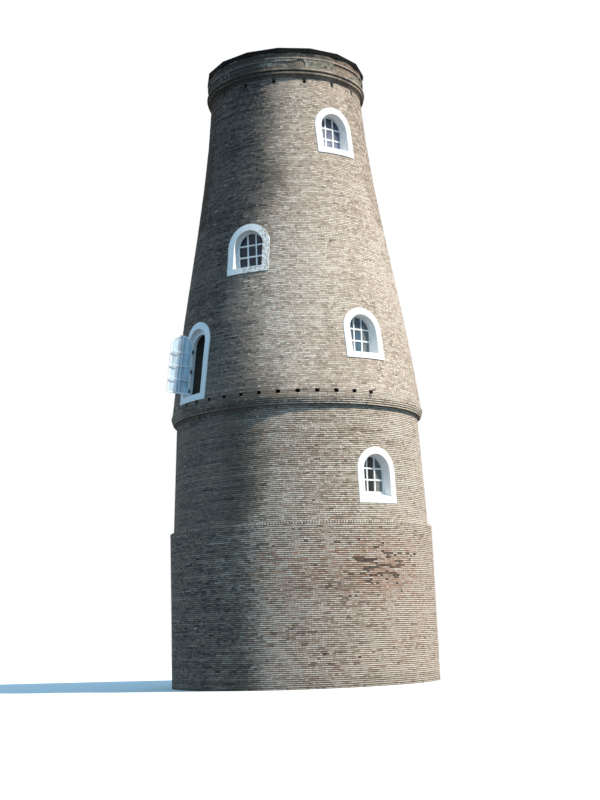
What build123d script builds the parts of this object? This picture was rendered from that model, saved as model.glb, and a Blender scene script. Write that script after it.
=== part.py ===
from build123d import *
from math import cos, pi, radians, sin, sqrt
import os

os.makedirs("parts", exist_ok=True)

# Truncated brick tower of a mill: no cap, no sails, no stage, as it stands today.
# Millimetres. +Z is up, the origin is the centre of the tower at ground level.
# An azimuth is counted from -Y, the face towards the viewer, and grows towards +X.

# Heights of the tower's tiers, and of their tops above the ground
base_height = 4700
lower_height = 3430
string_height = 440
upper_height = 10230
base_top = base_height
lower_top = base_top + lower_height
string_top = lower_top + string_height
cornice_bottom = string_top + upper_height

# Outer face: how much each tier leans in and how far it steps from the one below
base_foot_radius = 4130
base_batter = 40
lower_set_back = 110
lower_batter = 165
upper_overhang = 126
upper_batter = 1471
base_head_radius = base_foot_radius - base_batter
lower_foot_radius = base_head_radius - lower_set_back
lower_head_radius = lower_foot_radius - lower_batter
upper_foot_radius = lower_head_radius + upper_overhang
upper_head_radius = upper_foot_radius - upper_batter

# The upper wall is a soft ogee: slopes at its foot and head, as shares of the mean slope
foot_slope = 0.80
head_slope = 0.48
upper_runs = 7

# Brick courses that step out: the string course, and the cornice under the crown
course_height = 57
string_course_height = 235
string_steps = (115, 140, 160, 175)
cornice_steps = (15, 50, 105, 85, 135, 105)
plaster_height = 270
plaster_thickness = 25
capping_height = 40
collar_height = 178
plaster_radius = upper_head_radius + 90
capping_radius = plaster_radius + 25
collar_radius = plaster_radius - 20

# Inside: the wall steps back at each floor and leaves a ledge that carries its joists
lower_wall_thickness = 710
lower_ledge = 90
stage_ledge = 81
middle_ledge = 90
top_ledge = 60
lower_floor_drop = 120
stage_floor_rise = 150
middle_floor_rise = 3130
top_floor_drop = 3150
floor_tops = {
    "lower": base_top - lower_floor_drop,
    "stage": string_top + stage_floor_rise,
    "middle": string_top + middle_floor_rise,
    "top": cornice_bottom - top_floor_drop,
}
joist_height = 200
joist_width = 120
joist_spacing = 650
board_thickness = 30
floor_gap = 4
slab_thickness = 150
seat_gap = 0.3

# Windows: name, azimuth in degrees, height of the opening's sill
window_width = 970
window_height = 1200
lower_window_height = 1270
lower_window_rise = 710
stage_window_rise = 1180
middle_window_rise = 3955
upper_window_drop = 2320
windows = {
    "lower": (36.0, base_top + lower_window_rise, lower_window_height),
    "stage": (34.5, string_top + stage_window_rise, window_height),
    "middle": (-23.8, string_top + middle_window_rise, window_height),
    "upper": (35.0, cornice_bottom - upper_window_drop, window_height),
}
opposite = 180
reveal_depth = 290
surround_width = 210
surround_below = 190
surround_proud = 30
frame_width = 62
frame_depth = 70
glass_thickness = 6
fit_gap = 0.4

# Stage doors: one each side of the tower, the near one standing open
stage_door_azimuth = -54.5
stage_door_rise = 200
stage_door_sill = string_top + stage_door_rise
stage_door_width = 1000
stage_door_height = 2120
stage_door_slope = 7.3
stage_door_reveal = 160
door_frame_depth = 90
leaf_lift = 67
leaf_foot_gap = 8
leaf_clearance = 16
leaf_side_margin = 140
leaf_head_margin = 185
leaf_width = stage_door_width - 2 * leaf_side_margin
leaf_height = stage_door_height - leaf_lift - leaf_foot_gap - leaf_head_margin
leaf_head_radius = 0.525 * leaf_width
leaf_thickness = 34
leaf_stile = 58
leaf_open_angle = 104
hinge_radius = 14
hinge_length = 110
hinge_stand_off = 10
hinge_heights = (0.12, 0.48, 0.72)

# Ground door under the far stage door
ground_door_width = 1300
ground_door_height = 2250
ground_door_sill = 150
ground_door_reveal = 250
plank_thickness = 50
leaf_gap = 4

# Holes in the brickwork: sockets of the stage's beams, slots under the cornice
beam_holes = 43
first_beam_hole = 0.67
beam_hole_width = 130
beam_hole_height = 105
beam_hole_depth = 300
string_joints = (1, 12, 23, 33)
slots = 16
first_slot = 14.2
slot_width = 110
slot_height = 185
slot_depth = 200

# Roof: sixteen-sided boarded deck on joists, with a board edge
roof_sides = 16
roof_overhang = 140
roof_corner_radius = upper_head_radius + roof_overhang
roof_first_corner = -4.15
roof_edge_height = 125
roof_deck_thickness = 28
roof_edge_thickness = 30
roof_joist_width = 80
roof_joist_height = 90
roof_joist_spacing = 600

quarter_starts = {"front_right": 0, "back_right": 90, "back_left": 180, "front_left": 270}
reach = base_foot_radius / 2


def outward(azimuth):
    return Vector(sin(radians(azimuth)), -cos(radians(azimuth)), 0)


def sideways(azimuth):
    return Vector(cos(radians(azimuth)), sin(radians(azimuth)), 0)


def radial_plane(azimuth):
    """Upright plane through the tower's axis: x is the radius, y the height."""
    return Plane(origin=(0, 0, 0), x_dir=outward(azimuth), z_dir=-sideways(azimuth))


def facing_plane(azimuth, radius, height, slope=0):
    """Plane seen from outside at a radius and height, leaning in by slope degrees."""
    normal = outward(azimuth) * cos(radians(slope)) + Vector(0, 0, sin(radians(slope)))
    origin = outward(azimuth) * radius + Vector(0, 0, height)
    return Plane(origin=origin, x_dir=sideways(azimuth), z_dir=normal)


def upper_radius(height):
    """Outer radius of the upper wall at a height."""
    share = (height - string_top) / (cornice_bottom - string_top)
    square = 3 - 2 * foot_slope - head_slope
    cube = foot_slope + head_slope - 2
    fall = foot_slope * share + square * share**2 + cube * share**3
    return upper_foot_radius - (upper_foot_radius - upper_head_radius) * fall


def lower_radius(height):
    """Outer radius of the lower wall at a height."""
    share = (height - base_top) / (lower_top - base_top)
    return lower_foot_radius + (lower_head_radius - lower_foot_radius) * share


def base_radius(height):
    """Outer radius of the base wall at a height."""
    return base_foot_radius + (base_head_radius - base_foot_radius) * height / base_top


def room_radius(height):
    """Radius of the upper wall's inner face at a height."""
    for (low_radius, low), (high_radius, high) in zip(upper_inner, upper_inner[1:]):
        if low <= height < high:
            return low_radius + (high_radius - low_radius) * (height - low) / (high - low)


def ledge(name):
    """Height of the ledge inside the wall on which a floor's joists lie."""
    return floor_tops[name] - board_thickness - joist_height


def levels(low, high, runs):
    return [low + (high - low) * step / runs for step in range(runs + 1)]


def arch(width, height, below=0, head_radius=None):
    """Face of an arched opening with its sill on the x axis, or below it by an amount.

    The head is a half circle unless a larger head radius is given.
    """
    half = width / 2
    radius = head_radius or half
    spring = height - radius + sqrt(radius**2 - half**2)
    with BuildSketch() as face:
        with BuildLine():
            Polyline((-half, spring), (-half, -below), (half, -below), (half, spring))
            ThreePointArc((half, spring), (0, height), (-half, spring))
        make_face()
    return face.sketch


def turned_body(outline, proud=0):
    """Solid of revolution inside an outer outline, for trimming pieces to the wall's face."""
    with BuildPart() as body:
        with BuildSketch(Plane.XZ):
            with BuildLine():
                points = [(radius + proud, height) for radius, height in outline]
                Polyline((0, outline[0][1]), *points, (0, outline[-1][1]), close=True)
            make_face()
        revolve(axis=Axis.Z)
    return body.part


def finish(piece, name):
    piece.part.label = name
    export_step(piece.part, f"parts/{name}.step")
    print(name, round(piece.part.volume / 1e9, 4), "m3")


# Rooms, each wider than the one below by its ledge
lower_room_radius = lower_foot_radius - lower_wall_thickness
base_room_radius = lower_room_radius - lower_ledge
stage_room_radius = lower_room_radius + stage_ledge
stage_wall_thickness = upper_foot_radius - stage_room_radius
middle_wall_thickness = stage_wall_thickness - middle_ledge
top_wall_thickness = middle_wall_thickness - top_ledge
crown_room_radius = upper_head_radius - top_wall_thickness

# Outlines of the walls' outer and inner faces, each from the bottom up
base_outer = [(base_foot_radius, 0), (base_head_radius, base_top)]
lower_outer = [(lower_foot_radius, base_top), (lower_head_radius, lower_top)]
upper_outer = [(upper_radius(h), h) for h in levels(string_top, cornice_bottom, upper_runs)]

base_inner = [
    (base_room_radius, 0),
    (base_room_radius, ledge("lower")),
    (lower_room_radius, ledge("lower")),
    (lower_room_radius, base_top),
]
lower_inner = [(lower_room_radius, base_top), (lower_room_radius, lower_top)]
string_inner = [
    (lower_room_radius, lower_top),
    (lower_room_radius, ledge("stage")),
    (stage_room_radius, ledge("stage")),
    (stage_room_radius, string_top),
]
upper_inner = [
    (stage_room_radius, string_top),
    (upper_radius(ledge("middle")) - stage_wall_thickness, ledge("middle")),
    (upper_radius(ledge("middle")) - middle_wall_thickness, ledge("middle")),
    (upper_radius(ledge("top")) - middle_wall_thickness, ledge("top")),
    (upper_radius(ledge("top")) - top_wall_thickness, ledge("top")),
    (crown_room_radius, cornice_bottom),
]

string_outer = []
step_height = string_course_height / len(string_steps)
for index, step in enumerate(string_steps):
    string_outer.append((lower_head_radius + step, lower_top + index * step_height))
    string_outer.append((lower_head_radius + step, lower_top + (index + 1) * step_height))
string_head = lower_top + string_course_height
string_outer.append((upper_radius(string_head), string_head))
string_outer.append((upper_foot_radius, string_top))

cornice_outer = []
for index, step in enumerate(cornice_steps):
    cornice_outer.append((upper_head_radius + step, cornice_bottom + index * course_height))
    cornice_outer.append((upper_head_radius + step, cornice_bottom + (index + 1) * course_height))
plaster_bottom = cornice_bottom + len(cornice_steps) * course_height
plaster_top = plaster_bottom + plaster_height
capping_top = plaster_top + capping_height
crown_top = capping_top + collar_height
cornice_outer.append((plaster_radius - plaster_thickness, plaster_bottom))
cornice_outer.append((plaster_radius - plaster_thickness, plaster_top))
cornice_outer.append((capping_radius, plaster_top))
cornice_outer.append((capping_radius, capping_top))
cornice_outer.append((collar_radius, capping_top))
cornice_outer.append((collar_radius, crown_top))
cornice_inner = [(crown_room_radius, cornice_bottom), (crown_room_radius, crown_top)]


def window_places(name):
    """Azimuths of a storey's windows: the seen one and the one opposite."""
    azimuth = windows[name][0]
    return [azimuth % 360, (azimuth + opposite) % 360]


def window_face(name):
    """Wall's outer radius at the middle height of a storey's windows."""
    sill, height = windows[name][1:]
    radius = lower_radius if name == "lower" else upper_radius
    return radius(sill + height / 2)


def window_plane(name, azimuth, offset=0):
    radius = window_face(name) - reveal_depth + offset
    return facing_plane(azimuth, radius, windows[name][1])


stage_door_places = [stage_door_azimuth % 360, (stage_door_azimuth + opposite) % 360]
stage_door_radius = upper_radius(stage_door_sill) - stage_door_reveal
ground_door_azimuth = (stage_door_azimuth + opposite) % 360
ground_door_radius = base_radius(ground_door_sill) - ground_door_reveal


def stage_door_plane(azimuth):
    return facing_plane(azimuth, stage_door_radius, stage_door_sill, stage_door_slope)


ground_door_plane = facing_plane(ground_door_azimuth, ground_door_radius, ground_door_sill)


def inside(azimuth, start):
    return (azimuth - start) % 360 < 90


# Base wall, in four quarters
for side, start in quarter_starts.items():
    with BuildPart() as wall:
        with BuildSketch(radial_plane(start)):
            with BuildLine():
                Polyline(*base_outer, *reversed(base_inner), close=True)
            make_face()
        revolve(axis=Axis.Z, revolution_arc=90)
        if inside(ground_door_azimuth, start):
            with BuildSketch(ground_door_plane.offset(-reach)):
                add(arch(ground_door_width, ground_door_height, ground_door_sill))
            extrude(amount=2 * reach, mode=Mode.SUBTRACT)
            with BuildSketch(ground_door_plane):
                rim = ground_door_width + 2 * surround_width
                add(arch(rim, ground_door_height + surround_width, ground_door_sill))
            extrude(amount=reach, mode=Mode.SUBTRACT)
    finish(wall, f"base_wall_{side}")

# Lower wall, in four quarters
for side, start in quarter_starts.items():
    with BuildPart() as wall:
        with BuildSketch(radial_plane(start)):
            with BuildLine():
                Polyline(*lower_outer, *reversed(lower_inner), close=True)
            make_face()
        revolve(axis=Axis.Z, revolution_arc=90)
        for azimuth in window_places("lower"):
            if inside(azimuth, start):
                plane = window_plane("lower", azimuth)
                with BuildSketch(plane.offset(-reach)):
                    add(arch(window_width, lower_window_height))
                extrude(amount=2 * reach, mode=Mode.SUBTRACT)
                with BuildSketch(plane):
                    rim = window_width + 2 * surround_width
                    add(arch(rim, lower_window_height + surround_width, surround_below))
                extrude(amount=reach, mode=Mode.SUBTRACT)
    finish(wall, f"lower_wall_{side}")

# String course with the sockets of the stage's beams, in four stretches
hole_pitch = 360 / beam_holes
hole_azimuths = [first_beam_hole + hole_pitch * index for index in range(beam_holes)]
string_starts = [first_beam_hole + hole_pitch * (index - 0.5) for index in string_joints]
string_ends = string_starts[1:] + [string_starts[0] + 360]
for side, start, end in zip(quarter_starts, string_starts, string_ends):
    with BuildPart() as wall:
        with BuildSketch(radial_plane(start)):
            with BuildLine():
                Polyline(*string_outer, *reversed(string_inner), close=True)
            make_face()
        revolve(axis=Axis.Z, revolution_arc=end - start)
        for azimuth in hole_azimuths:
            if (azimuth - start) % 360 < end - start:
                socket_radius = upper_foot_radius - beam_hole_depth
                socket_middle = string_top - beam_hole_height / 2
                with BuildSketch(facing_plane(azimuth, socket_radius, socket_middle)):
                    Rectangle(beam_hole_width, beam_hole_height)
                extrude(amount=2 * beam_hole_depth, mode=Mode.SUBTRACT)
    finish(wall, f"string_course_{side}")

# Upper wall, in four quarters, with its windows, stage doors and slots
slot_azimuths = [first_slot + 360 / slots * index for index in range(slots)]
for side, start in quarter_starts.items():
    with BuildPart() as wall:
        with BuildSketch(radial_plane(start)):
            with BuildLine():
                Polyline(*upper_outer, *reversed(upper_inner), close=True)
            make_face()
        revolve(axis=Axis.Z, revolution_arc=90)
        for name in ("stage", "middle", "upper"):
            for azimuth in window_places(name):
                if inside(azimuth, start):
                    plane = window_plane(name, azimuth)
                    with BuildSketch(plane.offset(-reach / 2)):
                        add(arch(window_width, window_height))
                    extrude(amount=reach, mode=Mode.SUBTRACT)
                    with BuildSketch(plane):
                        rim = window_width + 2 * surround_width
                        add(arch(rim, window_height + surround_width, surround_below))
                    extrude(amount=reach, mode=Mode.SUBTRACT)
        for azimuth in stage_door_places:
            if inside(azimuth, start):
                plane = stage_door_plane(azimuth)
                with BuildSketch(plane):
                    add(arch(stage_door_width, stage_door_height))
                extrude(amount=reach / 2, dir=outward(azimuth), both=True, mode=Mode.SUBTRACT)
                with BuildSketch(plane):
                    rim = stage_door_width + 2 * surround_width
                    below = stage_door_sill - string_top
                    add(arch(rim, stage_door_height + surround_width, below))
                extrude(amount=reach / 2, dir=outward(azimuth), mode=Mode.SUBTRACT)
        for azimuth in slot_azimuths:
            if inside(azimuth, start):
                slot_middle = cornice_bottom - slot_height / 2
                slot_radius = upper_head_radius - slot_depth
                with BuildSketch(facing_plane(azimuth, slot_radius, slot_middle)):
                    Rectangle(slot_width, slot_height)
                extrude(amount=2 * slot_depth, mode=Mode.SUBTRACT)
    finish(wall, f"upper_wall_{side}")

# Cornice and crown ring, in four quarters
for side, start in quarter_starts.items():
    with BuildPart() as wall:
        with BuildSketch(radial_plane(start)):
            with BuildLine():
                Polyline(*cornice_outer, *reversed(cornice_inner), close=True)
            make_face()
        revolve(axis=Axis.Z, revolution_arc=90)
    finish(wall, f"cornice_{side}")

# Plaster band round the crown
with BuildPart() as band:
    with BuildSketch(Plane.XY.offset(plaster_bottom)):
        Circle(plaster_radius)
        Circle(plaster_radius - plaster_thickness, mode=Mode.SUBTRACT)
    extrude(amount=plaster_height)
finish(band, "plaster_band")

# Ground floor slab inside the base wall
with BuildPart() as slab:
    with BuildSketch():
        Circle(base_room_radius - seat_gap)
    extrude(amount=slab_thickness)
finish(slab, "ground_floor")

# Timber floors: boards on joists whose ends lie on the wall's ledges
floor_radii = {name: room_radius(floor_tops[name]) for name in ("stage", "middle", "top")}
floor_radii["lower"] = lower_room_radius
for name, radius in floor_radii.items():
    disc_radius = radius - floor_gap
    with BuildPart() as floor:
        with BuildSketch(Plane.XY.offset(floor_tops[name] - board_thickness)):
            Circle(disc_radius)
        extrude(amount=board_thickness)
        with BuildSketch(Plane.XY.offset(ledge(name))) as joists:
            count = int(disc_radius // joist_spacing)
            with GridLocations(0, joist_spacing, 1, 2 * count + 1):
                Rectangle(2 * disc_radius, joist_width)
            Circle(disc_radius, mode=Mode.INTERSECT)
        extrude(amount=joist_height)
    finish(floor, f"{name}_floor")

# White window surrounds, two to a storey
for name in windows:
    height = windows[name][2]
    outline = lower_outer if name == "lower" else upper_outer
    with BuildPart() as surround:
        for azimuth in window_places(name):
            with BuildSketch(window_plane(name, azimuth)):
                rim = window_width + 2 * surround_width
                add(arch(rim, height + surround_width, surround_below))
                add(arch(window_width, height), mode=Mode.SUBTRACT)
            extrude(amount=reach)
        add(turned_body(outline, surround_proud), mode=Mode.INTERSECT)
    finish(surround, f"{name}_window_surrounds")

# Window frames, set upright at the back of the reveals
for name in windows:
    height = windows[name][2]
    with BuildPart() as frames:
        for azimuth in window_places(name):
            with BuildSketch(window_plane(name, azimuth)):
                with Locations((0, fit_gap)):
                    add(arch(window_width - 2 * fit_gap, height - 2 * fit_gap))
                with Locations((0, frame_width)):
                    light_height = height - 2 * frame_width
                    add(arch(window_width - 2 * frame_width, light_height), mode=Mode.SUBTRACT)
            extrude(amount=-frame_depth)
    finish(frames, f"{name}_window_frames")

# Window glass
with BuildPart() as glass:
    for name in windows:
        height = windows[name][2]
        for azimuth in window_places(name):
            with BuildSketch(window_plane(name, azimuth, -frame_depth / 2)):
                with Locations((0, frame_width + fit_gap)):
                    light_width = window_width - 2 * frame_width - 2 * fit_gap
                    add(arch(light_width, height - 2 * frame_width - 2 * fit_gap))
            extrude(amount=glass_thickness)
finish(glass, "window_glass")

# Stage door surrounds
with BuildPart() as surround:
    for azimuth in stage_door_places:
        with BuildSketch(stage_door_plane(azimuth)):
            rim = stage_door_width + 2 * surround_width
            below = stage_door_sill - string_top
            add(arch(rim, stage_door_height + surround_width, below))
            add(arch(stage_door_width, stage_door_height), mode=Mode.SUBTRACT)
        extrude(amount=reach / 2, dir=outward(azimuth))
    add(turned_body(upper_outer, surround_proud), mode=Mode.INTERSECT)
finish(surround, "stage_door_surrounds")


def hinge_line(azimuth):
    """A point on the left hinge line at the leaf's foot, and the frame's own directions."""
    plane = stage_door_plane(azimuth)
    side_offset = -leaf_width / 2 - hinge_radius
    origin = plane.origin + plane.x_dir * side_offset + plane.z_dir * hinge_stand_off
    return origin + plane.y_dir * (leaf_lift + leaf_foot_gap), plane


# Stage door frames with their hinge knuckles
with BuildPart() as frames:
    for azimuth in stage_door_places:
        with BuildSketch(stage_door_plane(azimuth)):
            with Locations((0, fit_gap)):
                add(arch(stage_door_width - 2 * fit_gap, stage_door_height - 2 * fit_gap))
            with Locations((0, leaf_lift)):
                light_width = leaf_width + 2 * leaf_clearance
                light_height = leaf_foot_gap + leaf_height + leaf_clearance
                head = leaf_head_radius + leaf_clearance
                add(arch(light_width, light_height, head_radius=head), mode=Mode.SUBTRACT)
        extrude(amount=-door_frame_depth, dir=outward(azimuth))
        foot, plane = hinge_line(azimuth)
        for share in hinge_heights:
            middle = foot + plane.y_dir * (share * leaf_height)
            barrel_plane = Plane(origin=middle, x_dir=plane.x_dir, z_dir=plane.y_dir)
            with BuildSketch(barrel_plane.offset(-hinge_length / 2)):
                Circle(hinge_radius)
            extrude(amount=hinge_length)
finish(frames, "stage_door_frames")


def leaf_plane(azimuth, open_angle):
    """Plane of a leaf swung out about its hinge line, origin at the middle of its foot."""
    foot, plane = hinge_line(azimuth)
    swung = plane.x_dir * cos(radians(open_angle)) + plane.z_dir * sin(radians(open_angle))
    middle = foot + swung * (hinge_radius + seat_gap + leaf_width / 2)
    return Plane(origin=middle, x_dir=swung, z_dir=swung.cross(plane.y_dir))


leaf_angles = {"near": leaf_open_angle, "far": 0}
leaf_planes = {
    key: leaf_plane(azimuth, leaf_angles[key])
    for key, azimuth in zip(leaf_angles, stage_door_places)
}

# Stage door leaves: the near one open, the far one shut
for key, plane in leaf_planes.items():
    with BuildPart() as leaf:
        with BuildSketch(plane.offset(-leaf_thickness / 2)):
            add(arch(leaf_width, leaf_height, head_radius=leaf_head_radius))
            with Locations((0, leaf_stile)):
                light_width = leaf_width - 2 * leaf_stile
                light_height = leaf_height - 2 * leaf_stile
                head = leaf_head_radius - leaf_stile
                add(arch(light_width, light_height, head_radius=head), mode=Mode.SUBTRACT)
        extrude(amount=leaf_thickness)
    finish(leaf, f"stage_door_leaf_{key}")

# Glass of the leaves
with BuildPart() as glass:
    for plane in leaf_planes.values():
        with BuildSketch(plane.offset(-glass_thickness / 2)):
            rim = leaf_stile + fit_gap
            with Locations((0, rim)):
                head = leaf_head_radius - rim
                add(arch(leaf_width - 2 * rim, leaf_height - 2 * rim, head_radius=head))
        extrude(amount=glass_thickness)
finish(glass, "stage_door_glass")

# Ground door surround
with BuildPart() as surround:
    with BuildSketch(ground_door_plane):
        rim = ground_door_width + 2 * surround_width
        add(arch(rim, ground_door_height + surround_width, ground_door_sill))
        add(arch(ground_door_width, ground_door_height, ground_door_sill), mode=Mode.SUBTRACT)
    extrude(amount=reach)
    add(turned_body(base_outer, surround_proud), mode=Mode.INTERSECT)
finish(surround, "ground_door_surround")

# Ground door: two plank leaves standing on a threshold, shut
with BuildPart() as door:
    with BuildSketch(ground_door_plane):
        with Locations((0, fit_gap)):
            add(arch(ground_door_width - 2 * fit_gap, ground_door_height - 2 * fit_gap))
        with Locations((0, ground_door_height / 2)):
            Rectangle(leaf_gap, ground_door_height, mode=Mode.SUBTRACT)
    extrude(amount=-plank_thickness)
finish(door, "ground_door_leaves")

# Roof joists lying on the crown ring
deck_radius = roof_corner_radius - roof_edge_thickness
joist_room = deck_radius * cos(pi / roof_sides) - seat_gap
with BuildPart() as joists:
    with BuildSketch(Plane.XY.offset(crown_top)):
        joist_count = int(joist_room // roof_joist_spacing)
        with GridLocations(0, roof_joist_spacing, 1, 2 * joist_count + 1):
            Rectangle(2 * joist_room, roof_joist_width)
        Circle(joist_room, mode=Mode.INTERSECT)
    extrude(amount=roof_joist_height)
finish(joists, "roof_joists")

# Roof deck: sixteen-sided boards on the joists
roof_plane = Plane.XY.rotated((0, 0, roof_first_corner - 90))
with BuildPart() as deck:
    with BuildSketch(roof_plane.offset(crown_top + roof_joist_height)):
        RegularPolygon(deck_radius, roof_sides)
    extrude(amount=roof_deck_thickness)
finish(deck, "roof_deck")

# Edge boards round the joists and the deck
with BuildPart() as edge:
    with BuildSketch(roof_plane.offset(crown_top)):
        RegularPolygon(roof_corner_radius, roof_sides)
        RegularPolygon(deck_radius + seat_gap, roof_sides, mode=Mode.SUBTRACT)
    extrude(amount=roof_edge_height)
finish(edge, "roof_edge")
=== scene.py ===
import random
from math import atan2, cos, degrees, hypot, radians, sin, sqrt, tau

import bmesh
import bpy
from mathutils import Matrix, Vector, noise
from mathutils.bvhtree import BVHTree


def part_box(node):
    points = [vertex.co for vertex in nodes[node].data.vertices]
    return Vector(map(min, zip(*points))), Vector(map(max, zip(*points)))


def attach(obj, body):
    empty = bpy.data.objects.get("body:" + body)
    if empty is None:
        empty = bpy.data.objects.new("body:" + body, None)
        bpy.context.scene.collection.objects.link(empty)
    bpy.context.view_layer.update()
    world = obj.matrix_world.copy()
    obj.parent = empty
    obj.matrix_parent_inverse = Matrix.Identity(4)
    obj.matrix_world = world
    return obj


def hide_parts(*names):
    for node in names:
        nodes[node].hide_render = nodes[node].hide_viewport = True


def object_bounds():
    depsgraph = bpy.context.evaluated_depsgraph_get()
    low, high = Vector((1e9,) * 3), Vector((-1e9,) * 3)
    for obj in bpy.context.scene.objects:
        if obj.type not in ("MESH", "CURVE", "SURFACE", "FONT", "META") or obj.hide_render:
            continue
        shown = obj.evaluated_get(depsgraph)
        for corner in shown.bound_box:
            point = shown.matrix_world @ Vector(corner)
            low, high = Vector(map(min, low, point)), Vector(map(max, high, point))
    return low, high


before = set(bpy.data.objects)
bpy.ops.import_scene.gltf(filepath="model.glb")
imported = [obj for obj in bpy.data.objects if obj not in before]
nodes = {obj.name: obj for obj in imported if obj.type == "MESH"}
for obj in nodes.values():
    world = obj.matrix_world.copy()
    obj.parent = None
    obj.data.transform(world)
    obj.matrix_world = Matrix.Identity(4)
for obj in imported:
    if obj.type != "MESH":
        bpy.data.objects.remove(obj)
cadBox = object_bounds()
print("frame loaded:", len(nodes), "nodes")

quarters = ("front_right", "back_right", "back_left", "front_left")
storeys = ("lower", "stage", "middle", "upper")


# An azimuth is in degrees from -Y, the face towards the viewer, and grows towards +X
def outward(azimuth):
    return Vector((sin(radians(azimuth)), -cos(radians(azimuth)), 0))


def sideways(azimuth):
    return Vector((cos(radians(azimuth)), sin(radians(azimuth)), 0))


def pointAt(azimuth, radius, height):
    return outward(azimuth) * radius + Vector((0, 0, height))


def azimuthOf(point):
    return degrees(atan2(point.x, -point.y))


# Axes at a height on the tower's own axis, turned about it
def levelMatrix(height, angle=0):
    return Matrix.Translation((0, 0, height)) @ Matrix.Rotation(radians(angle), 4, "Z")


# Axes on the wall: x sideways, y into the wall, z up
def wallMatrix(azimuth, radius, height):
    return levelMatrix(height, azimuth) @ Matrix.Translation((0, -radius, 0))


def topOf(node):
    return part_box(node)[1].z


def wallNodes(*kinds):
    return [f"{kind}_{quarter}" for kind in kinds for quarter in quarters]


brickNodes = wallNodes("base_wall", "lower_wall", "string_course", "upper_wall", "cornice")
surroundNodes = [f"{storey}_window_surrounds" for storey in storeys]
surroundNodes += ["stage_door_surrounds", "ground_door_surround"]


# One search tree over the triangles of several CAD nodes
def joinedTree(names):
    corners, faces = [], []
    for name in names:
        mesh = nodes[name].data
        start = len(corners)
        corners.extend(v.co.copy() for v in mesh.vertices)
        faces.extend([start + i for i in f.vertices] for f in mesh.polygons)
    return BVHTree.FromPolygons(corners, faces)


wallTree = joinedTree(brickNodes)
surroundTree = joinedTree(surroundNodes)


# Outer radius of what a tree holds, looking in along an azimuth at a height
def faceRadius(tree, azimuth, height):
    start = pointAt(azimuth, cadBox[1].x + 1, height)
    hit = tree.ray_cast(start, -outward(azimuth))[0]
    return hypot(hit.x, hit.y) if hit else 0


def wallRadius(height):
    return faceRadius(wallTree, brickwork["clearAzimuth"], height)


def smoothStep(low, high, value):
    share = min(max((value - low) / (high - low), 0), 1)
    return share * share * (3 - 2 * share)


# 1 at the centre of a patch, falling softly to 0 at its half width
def patch(centre, half, value):
    return smoothStep(half, 0, abs(value - centre))


# Where painted shade, with some grime, lies on the side away from the sun: the azimuth of its edge
# and how far that swings at some heights
shadeAndGrime = {"from": -62, "edge": -6, "swing": 18, "swingHeight": 11.6, "swingHalf": 4.2,
         "footSwing": 9, "footHeights": (8.6, 7.6), "baseSwing": 9.5, "baseHeights": (5.6, 4.4),
         "soft": 14, "hard": 16, "ragged": 9, "seam": (84, 92)}


# The far side repeats the seen one, so an azimuth is turned back into the seen half
def seenHalf(azimuth):
    return (azimuth - shadeAndGrime["from"]) % 180 + shadeAndGrime["from"]


# 1 where painted shade, with some grime, darkens the side away from the sun, 0 on the bright side
def shadeAndGrimeAt(point, turned):
    height = point.z
    edge = shadeAndGrime["edge"] - shadeAndGrime["swing"] * patch(shadeAndGrime["swingHeight"], shadeAndGrime["swingHalf"], height)
    edge -= shadeAndGrime["footSwing"] * smoothStep(*shadeAndGrime["footHeights"], height)
    edge -= shadeAndGrime["baseSwing"] * smoothStep(*shadeAndGrime["baseHeights"], height)
    ragged = turned + shadeAndGrime["ragged"] * noise.noise(point * 0.8)
    dark = smoothStep(edge + shadeAndGrime["soft"], edge - shadeAndGrime["hard"], ragged)
    return max(dark, smoothStep(*shadeAndGrime["seam"], turned))


def meshOf(name, bm):
    mesh = bpy.data.meshes.new(name)
    bm.to_mesh(mesh)
    bm.free()
    return mesh


def addObject(name, data):
    made = bpy.data.objects.new(name, data)
    bpy.context.scene.collection.objects.link(made)
    return made


def placePiece(name, mesh, finish):
    mesh.materials.clear()
    mesh.materials.append(finishes[finish])
    mesh.shade_flat()
    piece = addObject(name, mesh)
    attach(piece, "root")
    return piece


def finishPiece(name, bm, finish):
    return placePiece(name, meshOf(name, bm), finish)


def addBox(bm, matrix, centre, size):
    place = matrix @ Matrix.Translation(centre) @ Matrix.Diagonal((*size, 1))
    return bmesh.ops.create_cube(bm, size=1, matrix=place)["verts"]


# Pulls edges up or down into faces, and gives the new edges
def pullEdges(bm, edges, rise):
    grown = bmesh.ops.extrude_edge_only(bm, edges=edges)["geom"]
    bmesh.ops.translate(bm, verts=[g for g in grown if isinstance(g, bmesh.types.BMVert)],
                        vec=(0, 0, rise))
    return [g for g in grown if isinstance(g, bmesh.types.BMEdge)]


def faceOutwards(bm):
    bmesh.ops.recalc_face_normals(bm, faces=bm.faces[:])


def easeEdges(bm, offset):
    bmesh.ops.bevel(bm, geom=bm.edges[:], offset=offset, affect="EDGES", segments=1,
                    profile=0.5, material=-1)


def operator(operation):
    return lambda value, other: value.maths(operation, other)


# A socket of a node tree, so that maths on it reads as plain maths
class Value:
    def __init__(self, tree, socket):
        self.tree = tree
        self.socket = socket

    def maths(self, operation, *others):
        return self.tree.maths(operation, self, *others)

    def __rsub__(self, other):
        return self.tree.maths("SUBTRACT", other, self)

    __add__ = __radd__ = operator("ADD")
    __sub__ = operator("SUBTRACT")
    __mul__ = __rmul__ = operator("MULTIPLY")
    __truediv__ = operator("DIVIDE")
    __gt__ = operator("GREATER_THAN")
    __lt__ = operator("LESS_THAN")


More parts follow.
